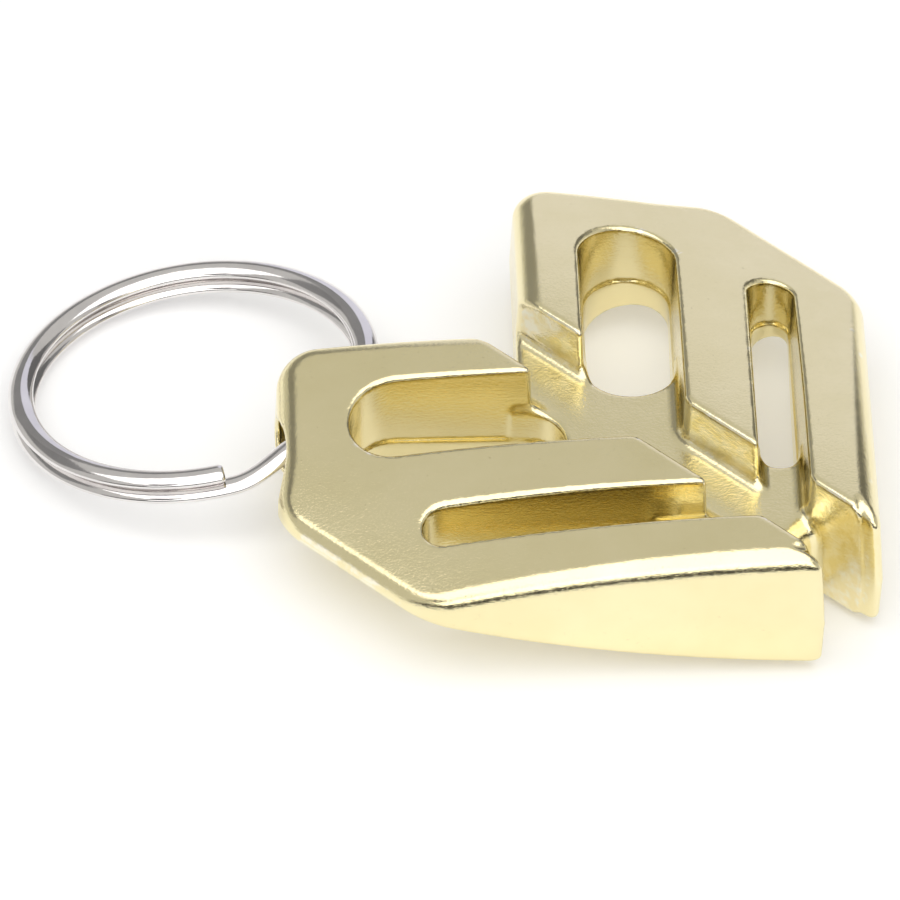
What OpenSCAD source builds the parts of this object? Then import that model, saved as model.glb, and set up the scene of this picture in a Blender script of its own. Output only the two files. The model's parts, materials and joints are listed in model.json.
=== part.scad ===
// Keychain bottle opener: a two-armed chevron casting on a split key ring.
// X runs along the left arm towards the point, Y runs out along the right arm, Z is up.
// The arms mirror each other across the plane through the origin at right angles to (1, 1, 0).

/* [Body] */

// Length of each arm, outer end to the other arm's outer face
arm_l = 43; // [38:0.5:50]

// Width across the three bars of one arm
arm_w = 25.4; // [23:0.1:29]

// Greatest thickness, along the middle line
body_t = 11; // [9:0.5:14]

// Radius of the arched top face
crown_r = 68; // [55:0.1:120]

// Radius of the gently curved underside
keel_r = 92; // [70:1:200]

// How far the underside's curve would dip below its flat resting strip
keel_dip = 0.45; // [0.1:0.05:0.8]

// Radius that lifts the underside at the two outer ends
heel_r = 46; // [44:0.5:60]

// Leg of the chamfered outer corner
chamfer = 10.1; // [6:0.1:12]

// Plan radius of the back outer corner
corner_r = 3; // [1:0.1:4]

// Plan radius of the two chamfer corners
chamfer_r = 1.6; // [1:0.1:4]

/* [Bars and slots] */

// Width of the outer bar
bar_out_w = 5; // [4:0.1:6]

// Width of the narrow slot
slot_b_w = 3.5; // [3:0.1:4.5]

// Width of the middle bar
bar_mid_w = 5.1; // [4:0.1:6]

// Width of the wide slot, which takes the cap's rim
slot_a_w = 7.1; // [6:0.1:8]

// Metal left between the wide slot and the arm's end
slot_a_end = 5.2; // [4.5:0.1:7]

// Metal left between the narrow slot and the arm's end
slot_b_end = 10.2; // [8:0.1:13]

// Step in the slot walls where the two mould halves meet
part_step = 0.4; // [0.2:0.1:0.8]

// Height of that step above the floor
part_z = 4.5; // [4:0.1:6]

/* [Channel] */

// Width of the channel between the arms
channel_w = 5.1; // [4:0.1:7]

// Depth of the channel floor below the crown
channel_d = 4; // [3:0.1:5]

// Open length of the notch between the tips
notch_l = 6.3; // [4:0.1:9]

// Rounding of the channel floor's front edge
lip_r = 1.5; // [0.5:0.1:3]

// Distance from the tips' ends to the wide slot's through hole, along the arm
hole_a_at = 22.2; // [20:0.1:25]

// Distance from the tips' ends to the narrow slot's through hole, along the arm
hole_b_at = 14.2; // [12:0.1:17]

/* [Key ring] */

// Outer diameter of the ring
ring_d = 27.4; // [26:0.1:30]

// Radial width of the flattened wire
wire_w = 1.9; // [1.5:0.05:2.2]

// Thickness of one coil
coil_t = 1.2; // [0.9:0.05:1.3]

// Air between the two coils
coil_gap = 0.1; // [0.06:0.01:0.3]

// Angle over which the wire crosses from one coil to the other
jog_deg = 24; // [14:1:34]

// Radius of the hole through the back corner
eye_r = 2.4; // [2.2:0.05:2.6]

// Share of the wire's free room in that hole by which the ring has moved outward
ring_pull = 0.678; // [0:0.002:0.9]

// Height of that hole's axis above the floor
eye_z = 5.4; // [5:0.1:5.8]

// Distance of that hole's axis from the corner
eye_in = 5.15; // [4.9:0.05:5.5]

// How far that hole is turned from square across the corner
eye_skew = 9; // [0:1:10]

// How far the ring has slid along its hole towards the arm's end
ring_slide = 0.15; // [0:0.05:1]

/* [Hidden] */

$fn = 96;

half = arm_l / 2;
back = arm_w - half;             // back edge of the left arm
web_z = body_t - channel_d;      // top of the channel floor
slot_b_y = -half + bar_out_w;    // near wall of the narrow slot
bar_mid_y = slot_b_y + slot_b_w;
slot_a_y = bar_mid_y + bar_mid_w;
tip_a = half * sqrt(2) - channel_w / 2;   // the tips' ends, along the middle line
web_end = tip_a - notch_l;                // front edge of the channel floor
big = 200;

ring_r = ring_d / 2;
ring_h = 2 * coil_t + coil_gap;
ring_in = ring_r - wire_w;
wire_e = 0.22;                   // bevel on the wire's edges
// the wire bows by this much between the two ends of its straight hole
bow = ring_r - wire_w / 2 - sqrt(pow(ring_r - wire_w / 2, 2) - pow(eye_in, 2));
eye_room = eye_r - norm([(wire_w + bow) / 2, ring_h / 2]);
wire_in = ring_r - (wire_w + bow) / 2 - ring_pull * eye_room;   // hole axis to ring centre
// the ring leans until its far side is this far above the floor
floor_gap = 0.0175;
lean_a = wire_in + ring_r - wire_e;
lean = asin((eye_z - floor_gap) / norm([lean_a, ring_h / 2])) - atan(ring_h / 2 / lean_a);
eye_x = -half + eye_in / sqrt(2);
eye_y = back - eye_in / sqrt(2);
jog_at = 241;                    // where the crossing sits, seen from above

// a cylinder lying along the middle line
module lying(r, z) {
    translate([0, 0, z]) rotate([0, 0, -45]) rotate([0, 90, 0])
        cylinder(r = r, h = big, center = true, $fn = 360);
}

// what a rounded plan corner removes: p is the corner, a1 and a2 its two edges' headings
module corner_sliver(p, a1, a2, r) {
    turn = abs(a1 - a2);
    mid = (a1 + a2) / 2;
    t = r / tan(turn / 2);
    c = r / sin(turn / 2);
    difference() {
        translate([p[0], p[1], -1]) linear_extrude(height = body_t + 2)
            polygon([[-cos(mid), -sin(mid)], [t * cos(a1), t * sin(a1)],
                     [t * cos(a2), t * sin(a2)]]);
        translate([p[0] + c * cos(mid), p[1] + c * sin(mid), -2])
            cylinder(r = r, h = body_t + 4);
    }
}

// chevron outline, upright walls
module outline() {
    linear_extrude(height = body_t + 1)
        polygon([[-half, back], [-half, -half + chamfer], [-half + chamfer, -half],
                 [half, -half], [half, half - chamfer], [half - chamfer, half],
                 [-back, half], [-back, back]]);
}

// a round-ended slot along X, from x0 to x1, between y and y + w
module round_slot(x0, x1, y, w, z0, z1) {
    r = w / 2;
    translate([x0 + r, y, z0]) cube([x1 - x0 - w, w, z1 - z0]);
    translate([x0 + r, y + r, z0]) cylinder(r = r, h = z1 - z0);
    translate([x1 - r, y + r, z0]) cylinder(r = r, h = z1 - z0);
}

// the slot's open upper part, running into the channel
module open_slot(x0, y, w) {
    r = w / 2;
    translate([x0 + r, y + r, web_z]) cylinder(r = r, h = body_t);
    // stops on the middle line, where the mirrored slot takes over
    intersection() {
        translate([x0 + r, y, web_z]) cube([arm_l, w, body_t]);
        rotate([0, 0, -45]) translate([-big / 2, -big, 0]) cube([big, big, big]);
    }
}

// the slot's through hole, stepped in where the mould halves meet
module through_slot(x0, x1, y, w) {
    round_slot(x0, x1, y, w, part_z, body_t + 1);
    round_slot(x0 + part_step, x1 - part_step, y + part_step, w - 2 * part_step,
               -1, part_z + 1);
}

module arm_cuts() {
    open_slot(-half + slot_a_end, slot_a_y, slot_a_w);
    open_slot(-half + slot_b_end, slot_b_y, slot_b_w);
    through_slot(-half + slot_a_end, half - hole_a_at, slot_a_y, slot_a_w);
    through_slot(-half + slot_b_end, half - hole_b_at, slot_b_y, slot_b_w);
    corner_sliver([-half, back], -90, 0, corner_r);
    corner_sliver([-half, -half + chamfer], -45, 90, chamfer_r);
    corner_sliver([-half + chamfer, -half], 135, 0, chamfer_r);
}

module channel_cuts() {
    w = channel_w / 2;
    rotate([0, 0, -45]) {
        translate([-big / 2, -w, web_z]) cube([big, channel_w, body_t]);
        translate([web_end, -w, -1]) cube([big / 2, channel_w, body_t + 2]);
        // rounded front edge of the channel floor
        difference() {
            translate([web_end - lip_r, -w, web_z - lip_r])
                cube([lip_r + 0.5, channel_w, lip_r + 0.5]);
            translate([web_end - lip_r, 0, web_z - lip_r]) rotate([90, 0, 0])
                cylinder(r = lip_r, h = channel_w + 2, center = true);
        }
    }
}

// the gold casting: two arms of three bars, a channel and a notch between them
module opener_body() {
    color([0.83, 0.77, 0.56]) difference() {
        intersection() {
            outline();
            lying(crown_r, body_t - crown_r);
            lying(keel_r, keel_r - keel_dip);
            lying(heel_r, heel_r - 2.5);
        }
        arm_cuts();
        mirror([1, 1, 0]) arm_cuts();
        channel_cuts();
        translate([eye_x, eye_y, eye_z]) rotate([0, 0, 45 + eye_skew]) rotate([0, 90, 0])
            cylinder(r = eye_r, h = 4 * eye_in, center = true);
    }
}

// cross-section of the flattened wire, sitting on z = 0
module wire_section() {
    e = wire_e;
    polygon([[ring_in + e, 0], [ring_r - e, 0], [ring_r, e], [ring_r, coil_t - e],
             [ring_r - e, coil_t], [ring_in + e, coil_t], [ring_in, coil_t - e], [ring_in, e]]);
}

// two flat coils joined by one sloping crossing
module coils() {
    rise = coil_t + coil_gap;
    slope = rise / (2 * (ring_r - wire_w / 2) * sin(jog_deg / 2));
    gap_deg = 3;
    translate([0, 0, -ring_h / 2]) {
        rotate([0, 0, jog_deg / 2 + gap_deg])
            rotate_extrude(angle = 360 - jog_deg - gap_deg) wire_section();
        translate([0, 0, rise]) rotate([0, 0, jog_deg / 2])
            rotate_extrude(angle = 360 - jog_deg - gap_deg) wire_section();
        // the crossing climbs anticlockwise into the upper coil
        translate([0, 0, rise / 2])
            multmatrix([[1, 0, 0, 0], [0, 1, 0, 0], [0, slope, 1, 0], [0, 0, 0, 1]])
                rotate([0, 0, -jog_deg / 2 - 0.4])
                    rotate_extrude(angle = jog_deg + 0.8) wire_section();
    }
}

// the steel split ring, hung through the back corner and leaning onto the floor
module split_ring() {
    color([0.72, 0.72, 0.74])
        translate([eye_x, eye_y, eye_z]) rotate([0, 0, 45 + eye_skew]) rotate([-lean, 0, 0])
            translate([-ring_slide, wire_in, 0]) rotate([0, 0, jog_at]) coils();
}

opener_body();
split_ring();
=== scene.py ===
import json
import math
import bmesh
import bpy
import numpy as np
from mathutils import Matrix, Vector


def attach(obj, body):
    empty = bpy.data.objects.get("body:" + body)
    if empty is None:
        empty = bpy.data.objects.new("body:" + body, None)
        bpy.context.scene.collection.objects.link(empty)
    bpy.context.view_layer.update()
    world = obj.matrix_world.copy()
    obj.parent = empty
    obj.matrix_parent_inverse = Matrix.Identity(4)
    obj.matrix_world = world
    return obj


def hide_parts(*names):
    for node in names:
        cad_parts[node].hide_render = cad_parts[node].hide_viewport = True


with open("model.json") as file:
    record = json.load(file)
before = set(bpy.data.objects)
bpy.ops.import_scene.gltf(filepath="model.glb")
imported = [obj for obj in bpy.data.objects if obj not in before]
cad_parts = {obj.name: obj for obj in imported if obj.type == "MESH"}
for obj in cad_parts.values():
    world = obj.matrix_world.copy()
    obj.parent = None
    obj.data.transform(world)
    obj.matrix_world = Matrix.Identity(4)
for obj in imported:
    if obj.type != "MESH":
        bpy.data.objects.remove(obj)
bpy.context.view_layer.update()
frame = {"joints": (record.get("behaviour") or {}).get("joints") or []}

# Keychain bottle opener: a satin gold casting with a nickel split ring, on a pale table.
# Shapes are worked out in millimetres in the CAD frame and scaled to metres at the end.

MM = 0.001
ROOT2 = math.sqrt(2.0)

# ---------------------------------------------------------------- sizes, as in the CAD model (mm)
HALF = 21.5               # half of an arm's length
BACK = 3.9                # back edge of the left arm
TOP = 11.0                # crown height on the middle line
CROWN_R, KEEL_R, KEEL_DIP, HEEL_R, HEEL_DIP = 68.0, 92.0, 0.45, 46.0, 2.5
CHAMFER = 10.1
CHANNEL = 5.1             # channel width
WEB_Z = 7.0               # channel floor
WEB_END = HALF * ROOT2 - CHANNEL / 2 - 6.3
PART_Z = 4.5              # where the mould halves meet
PART_STEP = 0.4
# each slot of the left arm: near wall, width, its through hole's outer and inner ends, and
# the plan radius of its corners
SLOT_A = dict(y=-7.9, w=7.1, x0=-16.3, x1=-0.7, r=3.5)
SLOT_B = dict(y=-16.5, w=3.5, x0=-11.3, x1=7.3, r=1.7)

joint = frame["joints"][0]
EYE = np.array(joint["pos_m"]) / MM       # a point on the ring's swing axis
EYE_DIR = np.array(joint["axis"])
EYE_R, EYE_HALF = 2.4, 10.3               # the hole's radius and half its length


# ---------------------------------------------------------------- distance-field helpers
def rmax(a, b, r):
    """Intersection of two fields with the outer edge rounded to radius r."""
    return np.minimum(np.maximum(a, b), -r) + np.hypot(np.maximum(a + r, 0), np.maximum(b + r, 0))


def rmin(a, b, r):
    """Union of two fields with the inner corner filled to radius r."""
    return -rmax(-a, -b, r)


def smooth(t):
    t = np.clip(t, 0, 1)
    return t * t * (3 - 2 * t)


def crown(across, up):
    return np.hypot(across, up - (TOP - CROWN_R)) - CROWN_R


def underside(across, up):
    keel = np.hypot(across, up - (KEEL_R - KEEL_DIP)) - KEEL_R
    heel = np.hypot(across, up - (HEEL_R - HEEL_DIP)) - HEEL_R
    return np.maximum(rmax(keel, heel, 6.0), -up)


def round_slot(x, y, xa, xb, half_w, r):
    """Rounded rectangle in plan, from xa to xb."""
    bx = np.abs(x - (xa + xb) / 2) - (xb - xa) / 2
    return rmax(bx, np.abs(y) - half_w, r)


def body_field(X, Y, Z):
    """Below zero inside the casting, in mm."""
    across = (X + Y) / ROOT2
    along = (X - Y) / ROOT2
    side = -np.abs(across)                      # fold the right arm onto the left
    x = (side + along) / ROOT2
    y = (side - along) / ROOT2

    # the outside: a chevron prism between the crown and the keel, its walls drafted a little
    draft = 0.055 * np.abs(Z - PART_Z) - 0.18
    plan = rmax(-HALF - x, y - BACK, 3.0)
    plan = rmax(plan, (-2 * HALF + CHAMFER - (x + y)) / ROOT2, 1.5)
    plan = rmax(plan, -HALF - y, 1.5) + draft
    gap = CHANNEL / 2 + side                    # above zero inside the channel
    # round the tips' upright corners, where the outer walls meet the notch
    away = smooth((-plan - 1.2) / 2.0) + smooth((WEB_END + 2.5 - along) / 2.0)
    plan = rmax(plan, gap - 4 * away, 1.1)
    # the top edge is rounder towards the tips and along the back
    edge = 0.9 + 0.75 * smooth((along - 2) / 24) + 0.75 * smooth((y + 12) / 6)
    shell = rmax(plan, crown(across, Z), edge)
    shell = rmax(shell, underside(across, Z), 1.1)

    # the web: one plate under the grooves, holed where the slots go through
    web = rmax(Z - WEB_Z, along - WEB_END, 1.6)
    void = -gap
    steps = []
    for s in (SLOT_A, SLOT_B):
        hw = s["w"] / 2
        yc = y - (s["y"] + hw)
        lean = 0.045 * np.clip(TOP - 1 - Z, 0, 5.5)
        groove = round_slot(x, yc, s["x0"] + lean, 60.0, hw - lean, s["r"] - lean)
        void = rmin(void, groove, 0.5)
        mouth = round_slot(x, yc, s["x0"] - 8, s["x1"], hw - 0.05, s["r"] - 0.05)
        mouth = np.minimum(mouth, np.maximum(x - (s["x1"] - s["r"]), np.abs(yc) - hw - 1))
        web = rmax(web, -mouth, 0.3)
        low = PART_STEP + 0.02 * np.clip(PART_Z - Z, 0, 6)
        inner_r = np.minimum(s["r"], hw) - low - 0.02
        inner = round_slot(x, yc, s["x0"] + low, s["x1"] - low, hw - low, inner_r)
        ring = round_slot(x, yc, s["x0"] - 0.5, s["x1"] + 0.5, hw + 0.5, s["r"])
        steps.append(np.maximum(rmax(Z - PART_Z, -inner, 0.10), ring))
    void = rmax(void, -web, 0.9)
    for lip in steps:
        void = rmax(void, -lip, 0.25)
    solid = rmax(shell, -void, 0.38)

    rel = np.stack([X - EYE[0], Y - EYE[1], Z - EYE[2]], -1)
    t = rel @ EYE_DIR
    eye = np.sqrt(np.maximum((rel ** 2).sum(-1) - t * t, 0)) - EYE_R
    return rmax(solid, -np.maximum(eye, np.abs(t) - EYE_HALF), 0.55)


def surface_nets(field, lo, step):
    """Quad mesh of a field's zero surface: one vertex in each cell it crosses."""
    inside = field < 0
    nx, ny, nz = field.shape
    c = [inside[i:nx - 1 + i, j:ny - 1 + j, k:nz - 1 + k]
         for i in (0, 1) for j in (0, 1) for k in (0, 1)]
    count = sum(a.astype(np.int8) for a in c)
    active = (count > 0) & (count < 8)
    index = -np.ones(active.shape, np.int64)
    cells = np.argwhere(active)
    index[active] = np.arange(len(cells))
    total = np.zeros((len(cells), 3))
    hits = np.zeros(len(cells))
    corners = [(i, j, k) for i in (0, 1) for j in (0, 1) for k in (0, 1)]
    ci, cj, ck = cells.T
    value = {p: field[ci + p[0], cj + p[1], ck + p[2]] for p in corners}
    for p in corners:
        for axis in range(3):
            if p[axis]:
                continue
            q = list(p)
            q[axis] = 1
            q = tuple(q)
            a, b = value[p], value[q]
            cross = (a < 0) != (b < 0)
            t = np.where(cross, a / np.where(cross, a - b, 1), 0)
            pos = np.array(p, float)[None] + t[:, None] * (np.array(q) - np.array(p))
            total += pos * cross[:, None]
            hits += cross
    verts = lo + (cells + total / hits[:, None]) * step
    faces = []
    for axis in range(3):
        u, v = (axis + 1) % 3, (axis + 2) % 3
        a = [slice(None)] * 3
        b = [slice(None)] * 3
        a[axis], b[axis] = slice(0, -1), slice(1, None)
        for s in (a, b):
            s[u], s[v] = slice(1, -1), slice(1, -1)
        fa, fb = inside[tuple(a)], inside[tuple(b)]
        edge = np.argwhere(fa != fb)
        first = fa[tuple(edge.T)]
        edge[:, u] += 1
        edge[:, v] += 1
        ring = []
        for du, dv in ((0, 0), (-1, 0), (-1, -1), (0, -1)):
            cell = edge.copy()
            cell[:, u] += du
            cell[:, v] += dv
            ring.append(index[tuple(cell.T)])
        quad = np.stack(ring, 1)
        quad[~first] = quad[~first][:, ::-1]
        faces.append(quad)
    return verts, np.concatenate(faces)


def mesh_object(name, verts, faces):
    me = bpy.data.meshes.new(name)
    me.vertices.add(len(verts))
    me.vertices.foreach_set("co", np.asarray(verts, np.float32).ravel())
    n, k = faces.shape
    me.loops.add(n * k)
    me.loops.foreach_set("vertex_index", faces.astype(np.int32).ravel())
    me.polygons.add(n)
    me.polygons.foreach_set("loop_start", np.arange(0, n * k, k, dtype=np.int32))
    me.polygons.foreach_set("loop_total", np.full(n, k, np.int32))
    me.update(calc_edges=True)
    me.validate()
    me.polygons.foreach_set("use_smooth", np.ones(len(me.polygons), bool))
    o = bpy.data.objects.new(name, me)
    bpy.context.scene.collection.objects.link(o)
    return o


# ---------------------------------------------------------------- the casting
def make_casting():
    step = 0.2
    pad = 0.6137              # keeps the flat walls off the grid's own planes
    lo = np.array([-HALF - pad, -HALF - pad, -pad])
    hi = np.array([HALF + pad, HALF + pad, TOP + pad])
    n = np.ceil((hi - lo) / step).astype(int) + 1
    ax = [lo[i] + step * np.arange(n[i]) for i in range(3)]
    X, Y, Z = np.meshgrid(*ax, indexing="ij")
    field = body_field(X, Y, Z)
    verts, faces = surface_nets(field, lo, step)

    # pull each vertex onto the true surface along the field's slope
    for _ in range(3):
        e = 0.02
        f = body_field(*verts.T)
        g = np.stack([body_field(*(verts + d).T) - body_field(*(verts - d).T)
                      for d in np.eye(3) * e], 1) / (2 * e)
        g2 = np.maximum((g ** 2).sum(1), 0.2)
        move = -(f / g2)[:, None] * g
        length = np.linalg.norm(move, axis=1, keepdims=True)
        move *= np.minimum(1, 0.1 / np.maximum(length, 1e-9))
        verts = verts + move
    return mesh_object("cast_body", verts * MM, faces)


casting = make_casting()
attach(casting, "casting")
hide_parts("opener_body")


# ---------------------------------------------------------------- the split ring
RING_R, WIRE_W, COIL_T, COIL_GAP, RING_SLIDE = 13.7, 1.9, 1.2, 0.1, 0.15
JOG = math.radians(24)
JOG_AT = math.radians(241)
CUT_GAP = math.radians(3)
RING_H = 2 * COIL_T + COIL_GAP
EYE_IN = 5.15             # hole axis to the corner
RING_PULL = 0.678         # share of the hole's free room by which the ring has moved outward
WIRE_BEVEL = 0.22
FLOOR_GAP = 0.0175        # air under the ring's far side


def make_ring():
    bow = RING_R - WIRE_W / 2 - math.sqrt((RING_R - WIRE_W / 2) ** 2 - EYE_IN ** 2)
    room = EYE_R - math.hypot((WIRE_W + bow) / 2, RING_H / 2)
    wire_in = RING_R - (WIRE_W + bow) / 2 - RING_PULL * room
    reach = wire_in + RING_R - WIRE_BEVEL
    lean = math.asin((EYE[2] - FLOOR_GAP) / math.hypot(reach, RING_H / 2))
    lean -= math.atan(RING_H / 2 / reach)
    ex = EYE_DIR
    ey = np.array([-EYE_DIR[1], EYE_DIR[0], 0.0])
    ez = np.array([0.0, 0.0, 1.0])
    ey, ez = (ey * math.cos(lean) - ez * math.sin(lean),
              ez * math.cos(lean) + ey * math.sin(lean))
    mid = EYE - RING_SLIDE * ex + wire_in * ey

    rise = COIL_T + COIL_GAP
    start = JOG / 2 + CUT_GAP - 2 * math.pi
    end = JOG / 2 + 2 * math.pi - JOG - CUT_GAP
    phi = np.linspace(start, end, 900)
    t = np.clip((phi + JOG / 2) / JOG, 0, 1)
    height = -RING_H / 2 + COIL_T / 2 + rise * (t * t * (3 - 2 * t))
    # drawn wire with a low ridge along its top and bottom
    q = np.linspace(0, 2 * math.pi, 40, endpoint=False)
    sec = np.stack([np.sign(np.cos(q)) * np.abs(np.cos(q)) ** 1.2 * WIRE_W / 2,
                    np.sign(np.sin(q)) * np.abs(np.sin(q)) ** 1.2 * COIL_T / 2], 1)
    m = len(sec)
    rad = RING_R - WIRE_W / 2
    ang = phi + JOG_AT
    verts = []
    for i in range(len(phi)):
        shrink = 1.0
        tip = min(i, len(phi) - 1 - i)
        if tip < 2:
            shrink = (0.86, 0.95)[tip]
        ca, sa = math.cos(ang[i]), math.sin(ang[i])
        radial = ca * ex + sa * ey
        c = mid + rad * radial + height[i] * ez
        verts.append(c[None] + shrink * (sec[:, :1] * radial + sec[:, 1:] * ez))
    verts = np.concatenate(verts)
    i = np.arange(len(phi) - 1)[:, None]
    j = np.arange(m)[None]
    k = (j + 1) % m
    quads = np.stack([i * m + j, i * m + k, (i + 1) * m + k, (i + 1) * m + j], -1).reshape(-1, 4)
    o = mesh_object("key_ring", verts * MM, quads)
    bm = bmesh.new()
    bm.from_mesh(o.data)
    bmesh.ops.holes_fill(bm, edges=[e for e in bm.edges if e.is_boundary], sides=0)
    bmesh.ops.recalc_face_normals(bm, faces=bm.faces)
    bm.to_mesh(o.data)
    bm.free()
    o.data.polygons.foreach_set("use_smooth", np.ones(len(o.data.polygons), bool))
    return o


ring = make_ring()
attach(ring, "key_ring")
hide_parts("split_ring")


# ---------------------------------------------------------------- materials
def new_material(name):
    m = bpy.data.materials.new(name)
    m.use_nodes = True
    nt = m.node_tree
    return m, nt, nt.nodes["Principled BSDF"]


def noise(nt, coord, scale, detail=3.0, rough=0.5):
    n = nt.nodes.new("ShaderNodeTexNoise")
    n.inputs["Scale"].default_value = scale
    n.inputs["Detail"].default_value = detail
    n.inputs["Roughness"].default_value = rough
    nt.links.new(coord, n.inputs["Vector"])
    return n.outputs["Fac"]


def ramp(nt, value, stops):
    r = nt.nodes.new("ShaderNodeValToRGB")
    el = r.color_ramp.elements
    while len(el) < len(stops):
        el.new(0.5)
    for e, (p, c) in zip(el, stops):
        e.position = p
        e.color = (*c, 1) if len(c) == 3 else c
    nt.links.new(value, r.inputs["Fac"])
    return r.outputs["Color"]


def stretched(nt, coord, scale):
    """Texture space squeezed per axis, for a grain that runs one way."""
    mp = nt.nodes.new("ShaderNodeMapping")
    mp.inputs["Scale"].default_value = scale
    nt.links.new(coord, mp.inputs["Vector"])
    return mp.outputs["Vector"]


def bump(nt, height, strength, distance, under=None):
    b = nt.nodes.new("ShaderNodeBump")
    b.inputs["Strength"].default_value = strength
    b.inputs["Distance"].default_value = distance
    nt.links.new(height, b.inputs["Height"])
    if under is not None:
        nt.links.new(under, b.inputs["Normal"])
    return b.outputs["Normal"]


def mixed(nt, fac, a, b, mode="MIX"):
    m = nt.nodes.new("ShaderNodeMix")
    m.data_type = "RGBA"
    m.blend_type = mode
    for name, value in (("Factor", fac), ("A", a), ("B", b)):
        if isinstance(value, (float, tuple)):
            m.inputs[name].default_value = value
        else:
            nt.links.new(value, m.inputs[name])
    return m.outputs["Result"]


def gold_material():
    m, nt, bsdf = new_material("satin_gold_plate")
    nodes, links = nt.nodes, nt.links
    coord = nodes.new("ShaderNodeTexCoord").outputs["Object"]
    bsdf.inputs["Metallic"].default_value = 1.0
    # plating: slow drifts of tint, faint darker specks, paler where handling has worn the edges
    cloud = noise(nt, coord, 160, 4, 0.55)
    tint = ramp(nt, cloud, [(0.35, (0.89, 0.795, 0.475)), (0.65, (0.93, 0.835, 0.52))])
    pore = noise(nt, coord, 3300, 2, 0.5)
    specks = ramp(nt, pore, [(0.70, (0, 0, 0)), (0.78, (0.35, 0.35, 0.35))])
    tint = mixed(nt, specks, tint, (0.62, 0.52, 0.28, 1))
    geo = nodes.new("ShaderNodeNewGeometry")
    rub = noise(nt, coord, 900, 4, 0.6)
    edge = ramp(nt, geo.outputs["Pointiness"], [(0.53, (0, 0, 0)), (0.62, (1, 1, 1))])
    worn = mixed(nt, 1.0, edge, ramp(nt, rub, [(0.42, (0, 0, 0)), (0.60, (1, 1, 1))]), "MULTIPLY")
    links.new(mixed(nt, worn, tint, (0.95, 0.90, 0.72, 1)), bsdf.inputs["Base Color"])

    # satin skin: fine grain, smoother where it is worn
    grain = noise(nt, coord, 4600, 3, 0.65)
    rough = ramp(nt, grain, [(0.3, (0.10,) * 3), (0.7, (0.20,) * 3)])
    links.new(mixed(nt, worn, rough, (0.08, 0.08, 0.08, 1)), bsdf.inputs["Roughness"])
    # cast surface: ripples under a pebble grain, with draw marks along the walls
    ripple = noise(nt, coord, 700, 3, 0.5)
    draw = noise(nt, stretched(nt, coord, (0.22, 0.22, 1.0)), 5200, 3, 0.6)
    n = bump(nt, ripple, 0.35, 0.00003)
    n = bump(nt, draw, 0.5, 0.00002, n)
    n = bump(nt, grain, 0.6, 0.00003, n)
    links.new(n, bsdf.inputs["Normal"])
    return m


def nickel_material():
    m, nt, bsdf = new_material("polished_nickel")
    nodes, links = nt.nodes, nt.links
    coord = nodes.new("ShaderNodeTexCoord").outputs["Object"]
    bsdf.inputs["Metallic"].default_value = 1.0
    cloud = noise(nt, coord, 300, 3, 0.5)
    tint = ramp(nt, cloud, [(0.3, (0.74, 0.715, 0.71)), (0.7, (0.85, 0.825, 0.81))])
    rough = ramp(nt, cloud, [(0.3, (0.07,) * 3), (0.7, (0.15,) * 3)])
    links.new(tint, bsdf.inputs["Base Color"])
    links.new(rough, bsdf.inputs["Roughness"])
    fine = noise(nt, coord, 900, 3, 0.5)
    links.new(bump(nt, fine, 0.2, 0.00006), bsdf.inputs["Normal"])
    return m


casting.data.materials.append(gold_material())
ring.data.materials.append(nickel_material())


# ---------------------------------------------------------------- table, light and camera
def plane(name, size, centre, colour):
    me = bpy.data.meshes.new(name)
    h = size / 2
    me.from_pydata([(-h, -h, 0), (h, -h, 0), (h, h, 0), (-h, h, 0)], [], [(0, 1, 2, 3)])
    o = bpy.data.objects.new(name, me)
    o.location = centre
    bpy.context.scene.collection.objects.link(o)
    m, _, bsdf = new_material(name)
    bsdf.inputs["Base Color"].default_value = (*colour, 1)
    bsdf.inputs["Roughness"].default_value = 0.6
    o.data.materials.append(m)
    return o


table = plane("table", 6.0, (0, 0, -0.00005), (0.9, 0.9, 0.9))
shader = table.data.materials[0].node_tree.nodes["Principled BSDF"]
shader.inputs["Emission Color"].default_value = (1, 1, 1, 1)
shader.inputs["Emission Strength"].default_value = 0.19

world = bpy.data.worlds.new("studio")
bpy.context.scene.world = world
world.use_nodes = True
world.node_tree.nodes["Background"].inputs["Color"].default_value = (1.0, 0.985, 0.95, 1)
world.node_tree.nodes["Background"].inputs["Strength"].default_value = 0.60


def around(turn, rise, dist):
    """A place round the object: turn is degrees clockwise from straight behind it."""
    t, r = math.radians(turn), math.radians(rise)
    return Vector((math.sin(t) * math.cos(r), math.cos(t) * math.cos(r), math.sin(r))) * dist


def facing(o, where):
    o.location = where
    o.rotation_mode = "QUATERNION"
    o.rotation_quaternion = (-Vector(where)).to_track_quat("-Z", "Y")


def light_box(name, wide, tall, glow, tint=(1, 1, 1)):
    """A rectangular light in metres, of even brightness, kept out of the camera's own sight."""
    d = bpy.data.lights.new(name, "AREA")
    d.shape = "RECTANGLE"
    d.size, d.size_y = wide, tall
    d.energy = glow * math.pi * d.size * d.size_y
    d.color = tint
    o = bpy.data.objects.new(name, d)
    bpy.context.scene.collection.objects.link(o)
    o.visible_camera = False
    return o


def spread(degrees, dist):
    """The width that spans this many degrees at a distance."""
    return 2 * dist * math.tan(math.radians(degrees / 2))


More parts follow.
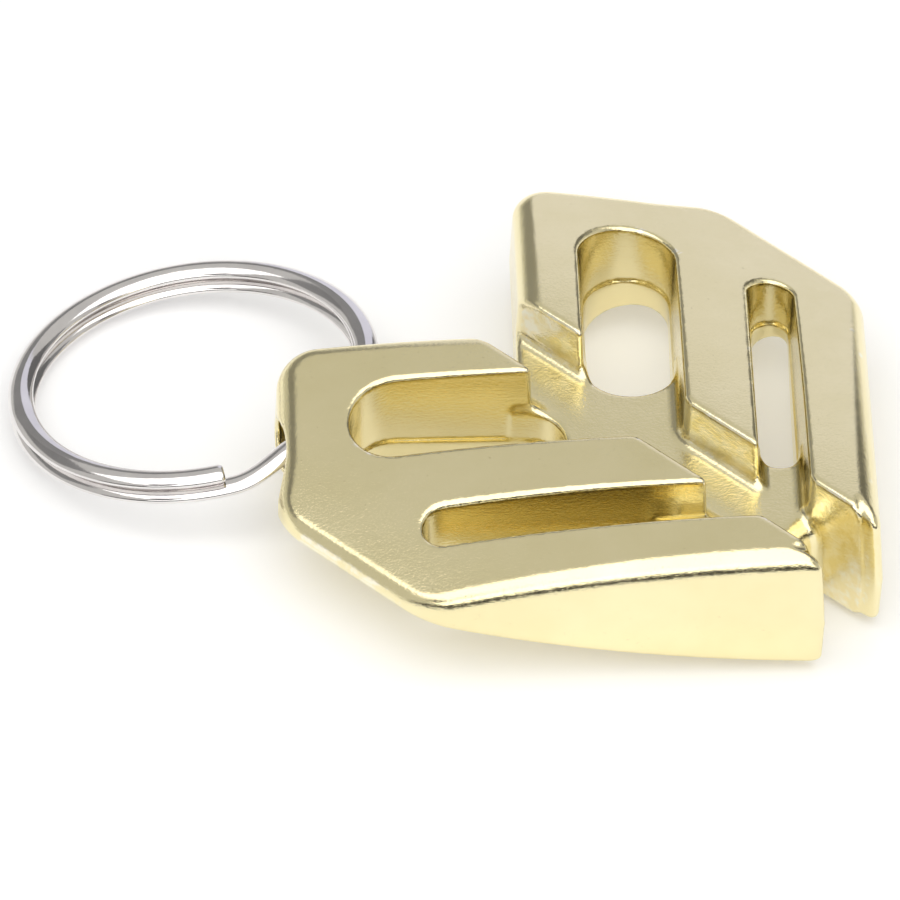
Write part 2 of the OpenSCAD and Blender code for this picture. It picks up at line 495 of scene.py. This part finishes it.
def soft_light(name, turn, rise, wide, tall, glow, tint=(1, 1, 1), dist=1.2):
    """A light box seen from the object as wide x tall degrees."""
    facing(light_box(name, spread(wide, dist), spread(tall, dist), glow, tint), around(turn, rise, dist))


def flag(name, turn, rise, wide, tall, shade=0.01, dist=1.0):
    """A dark card that gives the metal something to mirror."""
    o = plane(name, 1.0, (0, 0, 0), (shade, shade, shade))
    o.scale = (spread(wide, dist), spread(tall, dist), 1)
    facing(o, around(turn, rise, dist))
    o.visible_camera = False           # hidden from camera rays, so it never blocks a camera's view


overhead = light_box("overhead_box", 1.7, 1.7, 1.2)
overhead.location = (-0.1, -0.62, 1.0)      # lies flat, shining straight down
soft_light("front_box", 180, 27, 70, 18, 1.3)
soft_light("backdrop", 11, 20, 29, 38, 0.30, (0.6, 0.63, 1.0))
flag("left_gap", -27, 26, 41, 30, 0.30)
flag("far_left_gap", -66, 32, 36, 24, 0.26)
flag("right_gap", 41, 25, 32, 30, 0.16)
flag("far_right_gap", 68, 30, 20, 22, 0.26)
flag("front_gap", 180, 9, 120, 24)
flag("side_shade", 215, 38, 16, 16)
flag("blue_shade", 121, 40, 10, 12)

# the camera: 42 degrees above the table, looking along the right arm
scene = bpy.context.scene
FOCAL_PX = 12015.0                     # focal length for a 900-wide frame
cam_data = bpy.data.cameras.new("camera")
cam_data.sensor_width = 36.0
cam_data.lens = FOCAL_PX / 900.0 * 36.0
cam_data.clip_start, cam_data.clip_end = 0.01, 10
camera = bpy.data.objects.new("camera", cam_data)
scene.collection.objects.link(camera)
scene.camera = camera
ELEV, SWING = math.radians(42.2), math.radians(1.5)
DIST = 0.876
heading = Vector((math.sin(SWING), math.cos(SWING), 0))
right = Vector((math.cos(SWING), -math.sin(SWING), 0))
forward = heading * math.cos(ELEV) - Vector((0, 0, 1)) * math.sin(ELEV)
up = right.cross(forward)
LOOK = Vector((-0.008888, 0.001392, 0.001275))
camera.location = LOOK - forward * DIST
camera.rotation_mode = "QUATERNION"
camera.rotation_quaternion = forward.to_track_quat("-Z", "Y")

scene.view_settings.view_transform = "Standard"
